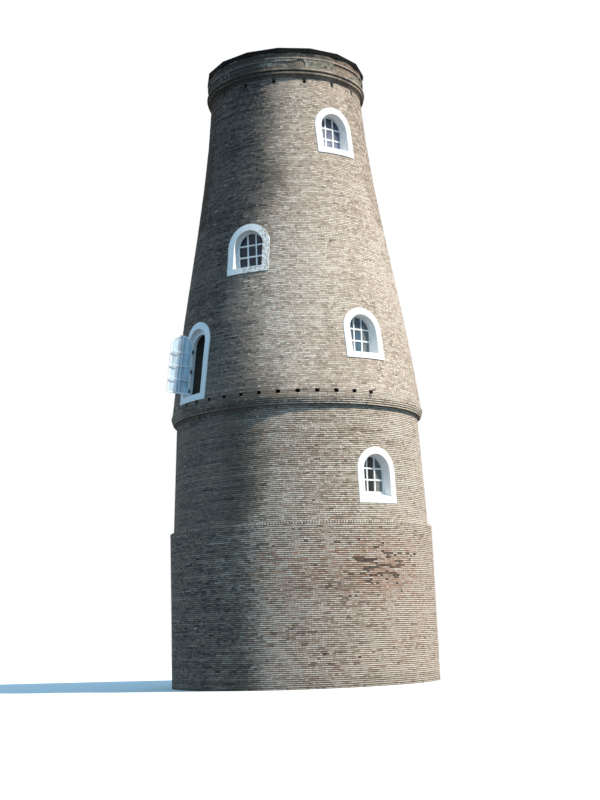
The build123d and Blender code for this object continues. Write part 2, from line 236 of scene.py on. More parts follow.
class Shading:
    def __init__(self, owner):
        owner.use_nodes = True
        self.owner = owner
        self.nodes = owner.node_tree.nodes
        self.links = owner.node_tree.links
        self.nodes.clear()

    # Any node: its type, its settings, then the values or links of its sockets
    def add(self, kind, settings=(), inputs=(), output=0):
        node = self.nodes.new(kind)
        settings = dict(settings)
        stops = settings.pop("stops", None)
        for key, value in settings.items():
            setattr(node, key, value)
        if stops:
            ramp = node.color_ramp.elements
            while len(ramp) < len(stops):
                ramp.new(0.5)
            for stop, (position, colour) in zip(ramp, stops):
                stop.position = position
                stop.color = (*colour, 1)
        for key, value in dict(inputs).items():
            if isinstance(value, Value):
                self.links.new(value.socket, node.inputs[key])
            else:
                node.inputs[key].default_value = value
        return Value(self, node.outputs[output]) if node.outputs else None

    def maths(self, operation, *values):
        return self.add("ShaderNodeMath", {"operation": operation}, enumerate(values))

    def place(self):
        return self.add("ShaderNodeTexCoord", output="Object")

    def parts(self, vector):
        node = self.add("ShaderNodeSeparateXYZ", inputs={0: vector}).socket.node
        return [Value(self, socket) for socket in node.outputs]

    def noise(self, vector, scale, detail=3, roughness=0.55, distortion=0):
        return self.add("ShaderNodeTexNoise", inputs={
            "Vector": vector, "Scale": scale, "Detail": detail, "Roughness": roughness,
            "Distortion": distortion})

    # A soft step of a value between two limits, from 0 to 1
    def between(self, value, low, high):
        return self.add("ShaderNodeMapRange", {"interpolation_type": "SMOOTHSTEP"}, {
            "Value": value, "From Min": low, "From Max": high, "To Min": 0, "To Max": 1})

    def mix(self, factor, first, second):
        colours = [c if isinstance(c, Value) else (*c, 1) for c in (first, second)]
        return self.add("ShaderNodeMix", {"data_type": "RGBA"},
                        {0: factor, 6: colours[0], 7: colours[1]}, 2)

    # Lays a stain over a colour where a value lies past the soft step between two limits
    def stain(self, colour, other, value, low, high, share=1):
        return self.mix(self.between(value, low, high) * share, colour, other)

    def stretch(self, vector, scale):
        return self.add("ShaderNodeVectorMath", {"operation": "MULTIPLY"},
                        {0: vector, 1: scale})

    def bump(self, height, distance, strength=1):
        return self.add("ShaderNodeBump", inputs={
            "Height": height, "Distance": distance, "Strength": strength})

    # 1 where painted shade, with some grime, darkens the wall, just as the bricks are darkened
    def shadeAndGrime(self, place, cloud):
        x, y, height = self.parts(place)
        azimuth = self.maths("ARCTAN2", x, 0 - y) * degrees(1)
        turned = self.maths("FLOORED_MODULO", azimuth - shadeAndGrime["from"], 180) + shadeAndGrime["from"]
        away = (height - shadeAndGrime["swingHeight"]).maths("ABSOLUTE")
        edge = shadeAndGrime["edge"] - self.between(away, shadeAndGrime["swingHalf"], 0) * shadeAndGrime["swing"]
        edge = edge - self.between(height, *shadeAndGrime["footHeights"]) * shadeAndGrime["footSwing"]
        edge = edge - self.between(height, *shadeAndGrime["baseHeights"]) * shadeAndGrime["baseSwing"]
        ragged = turned + (cloud - 0.5) * 2 * shadeAndGrime["ragged"]
        dark = self.between(ragged, edge + shadeAndGrime["soft"], edge - shadeAndGrime["hard"])
        return dark.maths("MAXIMUM", self.between(turned, *shadeAndGrime["seam"])), turned

    def surface(self, colour, roughness, normal, **others):
        shader = self.add("ShaderNodeBsdfPrincipled", inputs={
            "Base Color": colour, "Roughness": roughness, "Normal": normal,
            **{key.replace("_", " "): value for key, value in others.items()}})
        self.add("ShaderNodeOutputMaterial", inputs={"Surface": shader})
        return self.owner


# A new material's node tree, with the place on the object that its patterns follow
def newShading(name):
    s = Shading(bpy.data.materials.new(name))
    return s, s.place()


def brickMaterial(name, dirt):
    s, place = newShading(name)
    marks = s.add("ShaderNodeAttribute", {"attribute_name": "tone"}, output="Color")
    # The tone holds the bricks' own tone, and also painted shade with some grime on the side away
    # from the sun, and painted light and shade on the crown's courses
    tone, lime, red = s.parts(marks)
    damp = s.add("ShaderNodeAttribute", {"attribute_name": "tone"}, output="Alpha")
    blotch = s.noise(place, 17, 5, 0.65)
    grit = s.noise(place, 150, 3, 0.6)
    cloud = s.noise(place, 1.1, 4, 0.6)
    shade = tone + (blotch - 0.5) * (0.40 + tone * 0.5) + (cloud - 0.5) * 0.12
    colour = s.add("ShaderNodeValToRGB", {"stops": [
        (0.0, (0.016, 0.014, 0.013)),
        (0.2, (0.154, 0.133, 0.117)),
        (0.4, (0.305, 0.240, 0.184)),
        (0.6, (0.455, 0.362, 0.282)),
        (0.8, (0.615, 0.505, 0.402)),
        (1.0, (0.780, 0.685, 0.575))]}, {"Fac": shade})
    colour = s.mix(red, colour, (0.55, 0.315, 0.215))
    limed = s.between(blotch + lime - 0.5, 0.32, 0.68) * s.between(lime, 0.0, 0.25)
    colour = s.mix(limed * 0.75, colour, (0.76, 0.690, 0.590))
    algae = s.noise(place, 1.7, 4, 0.6)
    colour = s.mix(s.between(algae, 0.56, 0.70) * s.between(tone, 0.4, 0.8) * 0.35, colour,
                   (0.50, 0.465, 0.320))
    colour = s.mix(damp * s.between(blotch + cloud, 0.7, 1.2), colour, (0.060, 0.066, 0.044))
    if dirt:
        colour = s.stain(colour, (0.035, 0.032, 0.026), cloud, 0.46, 0.62, dirt)
    return s.surface(colour, 0.88 - limed * 0.06, s.bump(grit * 0.35 + blotch, 0.004, 0.8),
                     Specular_IOR_Level=0.3)


# Mortar is pale in the upper wall; in the lower tiers it is near black, partly as painted shade in
# the deep joints, and less dark towards the sunny side; painted shade, with some grime, darkens it
# on the side away from the sun
def mortarMaterial():
    s, place = newShading("lime_mortar")
    height = s.parts(place)[2]
    cloud = s.noise(place, 0.9, 5, 0.6)
    grit = s.noise(place, 90, 3, 0.6)
    dark, turned = s.shadeAndGrime(place, cloud)
    low = s.between(height, 8.60, 8.48)
    # Painted shade of the deep joints, less dark towards the sunny side
    deep = s.stain((0.048, 0.040, 0.030), (0.160, 0.132, 0.100), turned, 28, 58)
    speckle = s.noise(place, 17, 5, 0.65)
    colour = s.stain((0.340, 0.290, 0.235), (0.52, 0.455, 0.375), cloud, 0.38, 0.66)
    colour = s.mix(low, colour, deep)
    colour = s.mix(dark * 0.9, colour, (0.085, 0.072, 0.060))
    colour = s.stain(colour, (0.30, 0.26, 0.21), grit, 0.45, 0.70, 0.12)
    colour = s.stain(colour, (0.10, 0.085, 0.070), speckle, 0.50, 0.32, 0.5)
    return s.surface(colour, 0.95, s.bump(grit, 0.004))


def whitePlasterMaterial():
    s, place = newShading("white_paint_on_plaster")
    runs = s.noise(s.stretch(place, (5, 5, 0.9)), 1.4, 4, 0.6)
    spots = s.noise(place, 16, 4, 0.65)
    trowel = s.noise(place, 5, 3, 0.5)
    colour = s.stain((0.90, 0.90, 0.885), (0.66, 0.645, 0.60), runs, 0.50, 0.78, 0.30)
    # One side and the foot of the middle window are chipped
    turned = s.shadeAndGrime(place, runs)[1]
    height = s.parts(place)[2]
    chipped = s.between(turned, -19, -15.5) * s.between(turned, -8, -10)
    foot = s.between(height, 12.62, 12.48) * (height > 12) * s.between(turned, -31, -24)
    flaked = s.between(spots + chipped.maths("MAXIMUM", foot) * 0.17, 0.655, 0.70)
    colour = s.mix(flaked * 0.75, colour, (0.30, 0.265, 0.225))
    return s.surface(colour, 0.78, s.bump(trowel + spots * 0.2 - flaked * 0.4, 0.006, 0.7))


def greyPlasterMaterial():
    s, place = newShading("weathered_cement_render")
    runs = s.noise(s.stretch(place, (3, 3, 0.7)), 1.2, 5, 0.65)
    spots = s.noise(place, 9, 5, 0.65)
    dark, turned = s.shadeAndGrime(place, runs)
    colour = s.stain((0.56, 0.530, 0.470), (0.210, 0.195, 0.160), runs, 0.34, 0.60)
    colour = s.stain(colour, (0.240, 0.235, 0.165), turned, 13, 17, 0.60)
    colour = s.stain(colour, (0.085, 0.080, 0.058), spots, 0.46, 0.58, 0.8)
    colour = s.stain(colour, (0.520, 0.500, 0.430), spots, 0.40, 0.30, 0.6)
    # Painted shade, with some grime, darkens the render on the side away from the sun
    colour = s.mix(dark * 0.86, colour, (0.056, 0.054, 0.048))
    return s.surface(colour, 0.92, s.bump(spots, 0.008))


def paintedWoodMaterial():
    s, place = newShading("white_gloss_paint")
    grain = s.noise(s.stretch(place, (14, 14, 2)), 4, 3, 0.5)
    dust = s.noise(place, 5, 3, 0.6)
    colour = s.stain((0.89, 0.90, 0.895), (0.66, 0.66, 0.64), dust, 0.5, 0.75, 0.2)
    return s.surface(colour, 0.38 + grain * 0.15, s.bump(grain, 0.0015))


def timberMaterial(name, pale, dark, boardWidth=0.0, along=0):
    s, place = newShading(name)
    sides = s.parts(place)
    squeeze = [11, 11, 11]
    squeeze[along] = 0.9
    grain = s.noise(s.stretch(place, squeeze), 3, 5, 0.6, 0.6)
    colour = s.stain(pale, dark, grain, 0.32, 0.70)
    height = grain * 0.4
    if boardWidth:
        step = sides[1 - along] / boardWidth
        board = step.maths("FLOOR")
        jump = (board * 12.9898).maths("SINE").maths("MULTIPLY", 43.758).maths("FRACT")
        colour = s.mix(jump * 0.45, colour, dark)
        joint = (step.maths("FRACT") - 0.5).maths("ABSOLUTE") > 0.485
        colour = s.mix(joint, colour, (0.03, 0.024, 0.018))
        height = height - joint * 2
    return s.surface(colour, 0.72 + grain * 0.15, s.bump(height, 0.002))


def edgeBoardMaterial():
    s, place = newShading("tarred_edge_board")
    grain = s.noise(s.stretch(place, (3, 3, 22)), 3, 4, 0.6)
    moss = s.noise(place, 2.4, 4, 0.6)
    colour = s.stain((0.007, 0.007, 0.008), (0.016, 0.014, 0.013), grain, 0.35, 0.7)
    colour = s.stain(colour, (0.018, 0.024, 0.012), moss, 0.54, 0.70, 0.6)
    return s.surface(colour, 0.85, s.bump(grain, 0.003), Specular_IOR_Level=0.1)


# Roof felt: a sixteen-sided sheet in lapped strips, turned down over the edge boards
felt = {"sides": 16, "turn": -4.15, "corner": 2.614, "lift": 0.0035, "skirt": 0.055,
        "strip": 0.92, "seams": 5, "lap": 0.10, "lapRise": 0.009, "clear": 0.05}


def feltMaterial():
    s, place = newShading("mineral_roofing_felt")
    grit = s.noise(place, 220, 2, 0.5)
    cloud = s.noise(place, 1.3, 4, 0.6)
    colour = s.stain((0.045, 0.045, 0.044), (0.095, 0.092, 0.088), grit, 0.35, 0.65)
    colour = s.stain(colour, (0.060, 0.072, 0.042), cloud, 0.46, 0.66, 0.6)
    # Bitumen has oozed out along both edges of each lap
    strips = s.parts(place)[1] / felt["strip"]
    away = (strips - strips.maths("ROUND")).maths("ABSOLUTE") * felt["strip"]
    fromLap = (away - felt["lap"] / 2 + (cloud - 0.5) * 0.02).maths("ABSOLUTE")
    colour = s.stain(colour, (0.014, 0.014, 0.014), fromLap, 0.016, 0.006, 0.85)
    # The strip turned down over the edge is tarred
    edge = topOf("roof_edge")
    skirt = s.between(s.parts(place)[2], edge - 0.001, edge - 0.006)
    colour = s.mix(skirt, colour, (0.011, 0.011, 0.012))
    return s.surface(colour, 0.9, s.bump(grit, 0.002), Specular_IOR_Level=0.1)


def slabMaterial():
    s, place = newShading("ground_floor_bricks_on_sand")
    tiles = s.add("ShaderNodeTexBrick", {"offset": 0.5}, {
        "Vector": place, "Color1": (0.36, 0.34, 0.30, 1), "Color2": (0.27, 0.25, 0.22, 1),
        "Mortar": (0.10, 0.09, 0.08, 1), "Scale": 1, "Mortar Size": 0.008,
        "Brick Width": 0.4, "Row Height": 0.4})
    cloud = s.noise(place, 2, 4, 0.6)
    colour = s.stain(tiles, (0.16, 0.15, 0.13), cloud, 0.4, 0.7, 0.4)
    return s.surface(colour, 0.82, s.bump(cloud, 0.003))


def ironMaterial(name, dark, rusty):
    s, place = newShading(name)
    rust = s.noise(place, 45, 4, 0.6)
    colour = s.stain(dark, rusty, rust, 0.4, 0.65)
    return s.surface(colour, 0.75, s.bump(rust, 0.002), Metallic=0.3)


# The panes' colour is painted reflection: they mirror different things at each storey, so their
# colour follows the height, and the column beside the sunlit jamb of the windows to the right is
# painted with that jamb's reflection
def glassMaterial(name, stops, alpha, jambReflectionAzimuths=None):
    s, place = newShading(name)
    height = s.parts(place)[2] / 20
    ripple = s.noise(s.stretch(place, (3, 3, 2)), 1.2, 2, 0.5)
    colour = s.add("ShaderNodeValToRGB", {"stops": stops}, {"Fac": height})
    colour = s.stain(colour, (0.020, 0.026, 0.034), ripple, 0.35, 0.65, 0.35)
    if jambReflectionAzimuths:
        turned = s.shadeAndGrime(place, ripple)[1]
        jambReflection = s.between(turned, *jambReflectionAzimuths) * (height < 0.7)
        colour = s.mix(jambReflection * 0.8, colour, (0.22, 0.222, 0.210))
    return s.surface(colour, 0.05, s.bump(ripple, 0.004, 0.3), Alpha=alpha,
                     Specular_IOR_Level=0.3)


finishes = {
    "brick": brickMaterial("old_field_bricks", 0),
    "grimyBrick": brickMaterial("grimy_crown_bricks", 0.6),
    "mortar": mortarMaterial(),
    "whitePlaster": whitePlasterMaterial(),
    "greyPlaster": greyPlasterMaterial(),
    "paintedWood": paintedWoodMaterial(),
    "floorBoards": timberMaterial("floor_boards", (0.40, 0.29, 0.19), (0.20, 0.13, 0.08), 0.16),
    "roughTimber": timberMaterial("rough_joists", (0.36, 0.26, 0.17), (0.17, 0.115, 0.07)),
    "doorPlanks": timberMaterial("oiled_door_planks", (0.17, 0.105, 0.060),
                                 (0.075, 0.045, 0.028), 0, 2),
    "edgeBoard": edgeBoardMaterial(),
    "felt": feltMaterial(),
    "slab": slabMaterial(),
    "iron": ironMaterial("rusty_iron", (0.055, 0.045, 0.040), (0.150, 0.070, 0.038)),
    "hingeIron": ironMaterial("hinge_iron", (0.026, 0.025, 0.024), (0.050, 0.038, 0.030)),
    "windowGlass": glassMaterial("window_glass", [
        (0.32, (0.018, 0.020, 0.017)), (0.48, (0.100, 0.180, 0.240)),
        (0.55, (0.060, 0.110, 0.150)), (0.63, (0.006, 0.022, 0.048)),
        (0.70, (0.010, 0.028, 0.054)), (0.83, (0.340, 0.345, 0.460)),
        (0.88, (0.040, 0.056, 0.080))], 0.97, (37.0, 38.4)),
    # The open leaf's glass is painted the light blue of the sky that it shows
    "leafGlass": glassMaterial("clear_door_glass", [
        (0.40, (0.62, 0.86, 1.00)), (0.55, (0.66, 0.88, 1.00))], 0.54),
}


for finish, names in {
    "mortar": brickNodes,
    "whitePlaster": surroundNodes,
    "paintedWood": [f"{storey}_window_frames" for storey in storeys]
    + ["stage_door_frames", "stage_door_leaf_near", "stage_door_leaf_far"],
    "floorBoards": ["lower_floor", "stage_floor", "middle_floor", "top_floor"],
    "roughTimber": ["roof_joists"],
    "doorPlanks": ["ground_door_leaves"],
    "slab": ["ground_floor"],
    "felt": ["roof_deck"],
    "edgeBoard": ["roof_edge"],
    "windowGlass": ["window_glass"],
    "leafGlass": ["stage_door_glass"],
}.items():
    for name in names:
        for place in nodes[name].material_slots:
            place.material = finishes[finish]
print("materials made:", len(finishes))

# Brickwork: every brick is a point with its turn, size and tone, then made real
brickwork = {
    "stretcher": 0.18, "header": 0.085, "head": 0.007,
    "bed": {"upper": 0.011, "lower": 0.018, "base": 0.020},
    "proud": 0.016, "depth": 0.030, "shortest": 0.040,
    "slack": 0.002, "wave": 0.010, "jump": 0.0012, "tilt": 2.4,
    "flush": {"upper": 0.40, "string": 0.6, "collar": 0.3, "capping": 0.1, "teeth": 0.4,
              "bare": 0.5, "step1": 0.5, "step2": 0.5, "step3": 0.7, "step4": 0.4,
              "step5": 0.7, "step6": 0.3},
    "clearAzimuth": 4.85, "surroundReach": 0.08, "faceSlack": 0.012, "seed": 11,
    "courseTone": 0.05, "upperCourseTone": 0.03, "start": 0.18,
}
chance = random.Random(brickwork["seed"])
noise.seed_set(brickwork["seed"])


# The crown's courses from below, and how light and how red each one is. The lightness is partly
# painted light and shade: the courses that stand out most are lighter and the recessed ones darker,
# and the dark courses are painted lighter towards the sunny side, the lowest two most, where the
# courses above shade them
crown = {
    "teethLow": 0.065, "teethHigh": 0.175, "toothWidth": 0.044, "toothGap": 0.020,
    "capping": 0.040, "bed": 0.009, "toothBed": 0.010, "spread": 0.08, "pale": 0.5,
    "tones": {"step1": 0.22, "step2": 0.20, "step3": 0.58, "step4": 0.16, "step5": 0.62,
              "step6": 0.22, "bare": 0.30, "teeth": 0.24, "capping": 0.72, "collar": 0.0},
    "reds": {"step1": 1, "step2": 1, "bare": 1, "teeth": 0.6, "capping": 0.4},
    "paintedLightLifts": {"step1": 0.48, "step2": 0.48}, "lift": 0.26, "paintedLightAzimuths": (8, 32),
    "collarRed": (20, 60), "limedTeeth": (-12, 14),
}

# How the walls are marked. The bright rows give the bricks' lightness; the shade-and-grime row
# gives the tone on the side away from the sun, where painted shade with some grime darkens the
# bricks; the others are weather marks. A row is an amount, where it counts over the height and
# where over the azimuth, each a soft step or a patch with its two limits, and None is everywhere
weatherAndShade = {
    "bright": {
        "upper": ((0.80,), (-0.07, (smoothStep, 10.4, 8.8)), (-0.11, (smoothStep, 15.2, 18.6)),
                  (0.05, (smoothStep, 16.5, 18), (smoothStep, 35, 50)),
                  (0.05, (smoothStep, 11.5, 10), (smoothStep, 35, 50)),
                  (-0.05, (patch, 15.0, 2.0), (smoothStep, 55, 40)),
                  (0.07, (patch, 11.8, 2.2), (smoothStep, 38, 50))),
        "lower": ((0.80,), (0.15, None, (smoothStep, 20, 55))),
        "base": ((0.91,), (0.16, None, (smoothStep, 14, 40)))},
    "shadeAndGrimeTone": ((0.31,), (-0.18, (smoothStep, 6, 13)), (-0.04, (smoothStep, 17.6, 18.8))),
    "pale": ((0.04,), (0.22, (patch, 11.8, 4.2), (patch, 4, 42)),
             (0.26, (patch, 4.4, 2.0), (patch, 4, 34)), (0.18, (patch, 2.3, 1.9), (patch, 0, 32)),
             (0.16, (patch, 6.0, 2.6), (patch, 62, 30))),
    "bared": ((1, (patch, 3.3, 1.4), (patch, 36, 36)),),
    "baredLess": ((0.5, (patch, 3.2, 1.0), (patch, 2, 26)),),
    "sooty": ((0.18, (patch, 2.9, 1.2), (patch, 17, 17)),),
    "limeRun": ((0.62, (patch, 4.20, 0.07), (patch, -36, 18)),),
    "damp": ((0.30, (smoothStep, 0.7, 0.0)), (0.45, (smoothStep, 8.9, 8.0), (patch, -27, 14))),
    "spread": {"upper": 0.13, "lower": 0.14, "base": 0.24},
    "streak": {"upper": 0.10}, "streakBelow": 0.22,
    "repair": {"above": 14.3, "from": 49, "foot": 66, "slant": 8, "ragged": 1.5, "darker": 0.12},
    "stringDamp": (-8, 42), "stringBright": (0, 35), "limedRowlock": (-20, 22),
}


def marked(rows, height, turned):
    total = 0
    for amount, *marks in rows:
        for mark, value in zip(marks, (height, turned)):
            if mark:
                amount *= mark[0](*mark[1:], value)
        total += amount
    return total


# How a brick is marked: tone, lime, red and damp, each from 0 to 1. The tone holds weather, painted
# shade with some grime on the side away from the sun, and painted light and shade on the crown's
# courses
def weatheredAndShaded(point, azimuth, tier):
    turned = seenHalf(azimuth)
    height = point.z
    spot = height, turned
    wall = {"lower": "lower", "base": "base", "rowlock": "base"}.get(tier, "upper")
    cloud = noise.noise(point * 0.55)
    streak = noise.noise(Vector((point.x * 0.8, point.y * 0.8, height * 8)))
    # Painted shade, with some grime, darkens the tone on the side away from the sun
    dark = shadeAndGrimeAt(point, turned)
    bright = marked(weatherAndShade["bright"][wall], *spot)
    tone = bright + (marked(weatherAndShade["shadeAndGrimeTone"], *spot) - bright) * dark
    streaky = weatherAndShade["streak"].get(tier, weatherAndShade["streakBelow"])
    tone += 0.05 * cloud + streaky * streak * (1 - 0.4 * dark)
    tone += chance.gauss(0, weatherAndShade["spread"][wall]) * (1 - 0.55 * dark)
    pale = marked(weatherAndShade["pale"], *spot)
    pale *= (1 + 1.3 * (cloud + streak)) * (1 - 0.97 * dark)
    lime = chance.uniform(0.2, 0.75) if chance.random() < pale else chance.random() * 0.12
    lime = max(lime, marked(weatherAndShade["limeRun"], *spot))
    # A later repair in browner, cleaner brick, with a slanting edge
    repair = weatherAndShade["repair"]
    rise = height - repair["above"]
    if rise > 0 and turned + repair["ragged"] * cloud > max(
            repair["from"], repair["foot"] - repair["slant"] * rise):
        tone -= repair["darker"]
        lime = 0
    bared = max(marked(weatherAndShade["bared"], *spot), marked(weatherAndShade["baredLess"], *spot))
    red = chance.uniform(0.15, 0.70) if chance.random() < 0.015 + 0.95 * bared else 0
    tone -= marked(weatherAndShade["sooty"], *spot)
    if tier == "base":
        red += chance.uniform(0, 0.25) * (1 - dark)
    damp = marked(weatherAndShade["damp"], *spot)
    if tier == "string":
        damp += 0.35 * patch(*weatherAndShade["stringDamp"], turned)
        tone += 0.16 * smoothStep(*weatherAndShade["stringBright"], turned)
    if tier in crown["tones"]:
        tone = crown["tones"][tier] * (1 - 0.94 * dark) + chance.gauss(0, crown["spread"])
        if crown["tones"][tier] < crown["pale"]:
            # Painted light: a dark course is made lighter towards the sunny side
            lift = crown["paintedLightLifts"].get(tier, crown["lift"])
            tone += lift * smoothStep(*crown["paintedLightAzimuths"], turned) * (1 - dark)
        red = chance.uniform(0.1, 0.55) * crown["reds"].get(tier, 0) * (1 - dark)
        lime *= 0.3
        damp = (0.3 + 0.6 * noise.noise(point * 1.4)) * (tier != "capping")
    if tier == "collar":
        red = chance.uniform(0.1, 0.6) * smoothStep(*crown["collarRed"], turned)
    if tier == "teeth":
        limed = patch(*crown["limedTeeth"], turned)
        tone += 0.50 * limed
        lime = 0.6 * limed
    if tier == "rowlock":
        tone -= 0.02
        lime = max(lime, 0.8 * patch(*weatherAndShade["limedRowlock"], turned))
    return min(max(tone, 0), 1), lime, red, min(max(damp, 0), 1)


# Bricks spall and fall out, in short runs, in the reddish patch near the foot; the sunk bricks are
# painted near black as the shade in their holes
lostBricks = {"azimuths": (36, 28), "heights": (3.35, 1.15), "level": 0.15, "strays": 0.08,
              "sunk": 0.014}


def isLost(point, azimuth):
    worn = patch(*lostBricks["azimuths"], seenHalf(azimuth))
    worn *= patch(*lostBricks["heights"], point.z)
    run = noise.noise(Vector((point.x * 2.1, point.y * 2.1, point.z * 9)))
    return run * worn > lostBricks["level"] or chance.random() < lostBricks["strays"] * worn


# What a brick would cover at a spot of the wall's face
def lies(azimuth, height, radius):
    if faceRadius(surroundTree, azimuth, height) > radius - brickwork["surroundReach"]:
        return "surround"
    away = abs(faceRadius(wallTree, azimuth, height) - radius)
    return "wall" if away < brickwork["faceSlack"] else "hole"


# Cuts a brick's ends back from a hole: its new middle and length, or None where none is left
def cutToWall(azimuth, height, radius, length):
    half = degrees(length / 2 / radius)
    ends = [azimuth - half, azimuth + half]
    found = [lies(a, height, radius) for a in (ends[0], azimuth, ends[1])]
    if "wall" not in found or found[1] == "hole":
        return None
    for side in (0, 1):
        if found[2 * side] == "hole":
            clear, blocked = azimuth, ends[side]
            for _ in range(5):
                middle = (clear + blocked) / 2
                if lies(middle, height, radius) == "hole":
                    blocked = middle
                else:
                    clear = middle
            ends[side] = clear
    newLength = radians(ends[1] - ends[0]) * radius
    if newLength < brickwork["shortest"]:
        return None
    return (ends[0] + ends[1]) / 2, newLength


class BrickPoints:
    def __init__(self):
        self.bm = bmesh.new()
        self.turn = self.bm.verts.layers.float_vector.new("turn")
        self.size = self.bm.verts.layers.float_vector.new("size")
        self.tone = self.bm.verts.layers.float_color.new("tone")

    # A ring of equal bricks at a height, the first one's middle at the given azimuth
    def layCourse(self, count, length, height, middle, first, tier, lean=0.0):
        radius = wallRadius(middle)
        ring = bmesh.ops.create_circle(self.bm, segments=count, radius=radius,
                                       matrix=levelMatrix(middle, first))
        shift = chance.gauss(0, brickwork["upperCourseTone" if tier == "upper" else "courseTone"])
        for vertex in ring["verts"]:
            azimuth = azimuthOf(vertex.co)
            cut = cutToWall(azimuth, middle, radius, length)
            if cut is None:
                self.bm.verts.remove(vertex)
                continue
            self.setBrick(vertex, cut, height, radius, tier, lean, shift)

    def setBrick(self, vertex, cut, height, radius, tier, lean, shift):
        azimuth, length = cut
        slack = brickwork["slack"]
        tilt = radians(brickwork["tilt"])
        wave = brickwork["wave"] * noise.noise(vertex.co * 0.8)
        middle = vertex.co.z + wave + chance.gauss(0, brickwork["jump"])
        lost = tier == "base" and isLost(vertex.co, azimuth)
        push = chance.uniform(-slack, slack) - (lostBricks["sunk"] if lost else 0)
        vertex.co = pointAt(azimuth, radius + push, middle)
        vertex[self.turn] = Vector((chance.gauss(0, tilt) - lean, 0,
                                    radians(azimuth) + chance.gauss(0, tilt / 2)))
        vertex[self.size] = Vector((length - chance.uniform(0, slack),
                                    brickwork["flush"].get(tier, 1),
                                    height - chance.uniform(0, 2.5 * slack)))
        tone, lime, red, damp = weatheredAndShaded(vertex.co, azimuth, tier)
        # A lost brick is sunk into the wall and painted dark, as the shade in its hole
        if lost:
            tone, lime, red, damp = chance.uniform(0.0, 0.16), 0, chance.uniform(0.05, 0.35), 0
        vertex[self.tone] = Vector((tone + shift, lime, red, damp))


# Alternating courses of headers and stretchers between two heights
def layTier(points, tier, low, high, courses):
    rise = (high - low) / courses
    for course in range(courses):
        middle = low + rise * (course + 0.5)
        radius = wallRadius(middle)
        above = wallRadius(middle + rise / 4)
        length = brickwork["stretcher"] if course % 2 else brickwork["header"]
        pitch = length + brickwork["head"]
        count = round(tau * radius / pitch)
        step = 360 / count
        first = step * (0.25 if course % 2 == 0 else 0.5 * (course // 2 % 2))
        first += step * chance.uniform(-brickwork["start"], brickwork["start"])
        length = tau * radius / count - brickwork["head"]
        lean = atan2(radius - above, rise / 4)
        points.layCourse(count, length, rise - brickwork["bed"][tier], middle, first, tier, lean)


# One ring of bricks with a given width and gap, as in a course on edge or a corbel
def layRing(points, tier, low, high, bed, turn=0.0, width=brickwork["header"],
            gap=brickwork["head"]):
    middle = (low + high) / 2
    radius = wallRadius(middle)
    count = round(tau * radius / (width + gap))
    length = tau * radius / count - gap
    points.layCourse(count, length, high - low - bed, middle, turn * 360 / count, tier)


def brickShape():
    bm = bmesh.new()
    proud, depth = brickwork["proud"], brickwork["depth"]
    spot = Matrix.Translation((0, depth / 2 - proud, 0)) @ Matrix.Diagonal((1, depth, 1, 1))
    bmesh.ops.create_cube(bm, size=1, matrix=spot)
    bmesh.ops.delete(bm, geom=[f for f in bm.faces if f.normal.y > 0.9], context="FACES_ONLY")
    return addObject("oneBrick", meshOf("oneBrick", bm))


# Node group that puts the brick on each point with its turn and size, and makes it real
def layingGroup(shape):
    group = bpy.data.node_groups.new("laidBricks", "GeometryNodeTree")
    for way in ("INPUT", "OUTPUT"):
        group.interface.new_socket("Geometry", in_out=way, socket_type="NodeSocketGeometry")
    made = {key: group.nodes.new(kind) for key, kind in {
        "points": "NodeGroupInput", "result": "NodeGroupOutput",
        "brick": "GeometryNodeObjectInfo", "turn": "GeometryNodeInputNamedAttribute",
        "size": "GeometryNodeInputNamedAttribute", "lay": "GeometryNodeInstanceOnPoints",
        "real": "GeometryNodeRealizeInstances"}.items()}
    made["brick"].inputs["Object"].default_value = shape
    for key in ("turn", "size"):
        made[key].data_type = "FLOAT_VECTOR"
        made[key].inputs["Name"].default_value = key
    for source, output, target, socket in (
        ("points", 0, "lay", "Points"), ("brick", "Geometry", "lay", "Instance"),
        ("turn", "Attribute", "lay", "Rotation"), ("size", "Attribute", "lay", "Scale"),
        ("lay", 0, "real", 0), ("real", 0, "result", 0),
    ):
        group.links.new(made[source].outputs[output], made[target].inputs[socket])
    return group


brick = brickShape()
laying = layingGroup(brick)


def makeBricks(name, points, finish="brick"):
    cloud = addObject("points", meshOf("points", points.bm))
    cloud.modifiers.new("lay", "NODES").node_group = laying
    evaluated = cloud.evaluated_get(bpy.context.evaluated_depsgraph_get())
    mesh = bpy.data.meshes.new_from_object(evaluated)
    mesh.name = name
    for layer in ("turn", "size"):
        mesh.attributes.remove(mesh.attributes[layer])
    bpy.data.objects.remove(cloud)
    placePiece(name, mesh, finish)
    print(name, len(mesh.polygons) // 5, "bricks")


baseTop, lowerTop, stringTop, upperTop, crownTop = [
    topOf(f"{tier}_front_left")
    for tier in ("base_wall", "lower_wall", "string_course", "upper_wall", "cornice")]
bandLow, bandTop = [corner.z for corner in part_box("plaster_band")]
courses = {"base": 81, "lower": 60, "upperLow": 78, "upperHigh": 102}
split = stringTop + (upperTop - stringTop) * (
    courses["upperLow"] / (courses["upperLow"] + courses["upperHigh"]))

# The base ends in a low course of bricks on edge, with open joints
rowlock = {"height": 0.072, "width": 0.060, "gap": 0.022, "bed": 0.016}
rowlockFoot = baseTop - rowlock["height"]
for name, tier, low, high, count in (
    ("base_bricks", "base", 0, rowlockFoot, courses["base"]),
    ("lower_bricks", "lower", baseTop, lowerTop, courses["lower"]),
    ("upper_bricks_low", "upper", stringTop, split, courses["upperLow"]),
    ("upper_bricks_high", "upper", split, upperTop, courses["upperHigh"]),
):
    points = BrickPoints()
    layTier(points, tier, low, high, count)
    if tier == "base":
        layRing(points, "rowlock", high, baseTop, rowlock["bed"], 0, rowlock["width"],
                rowlock["gap"])
    makeBricks(name, points)

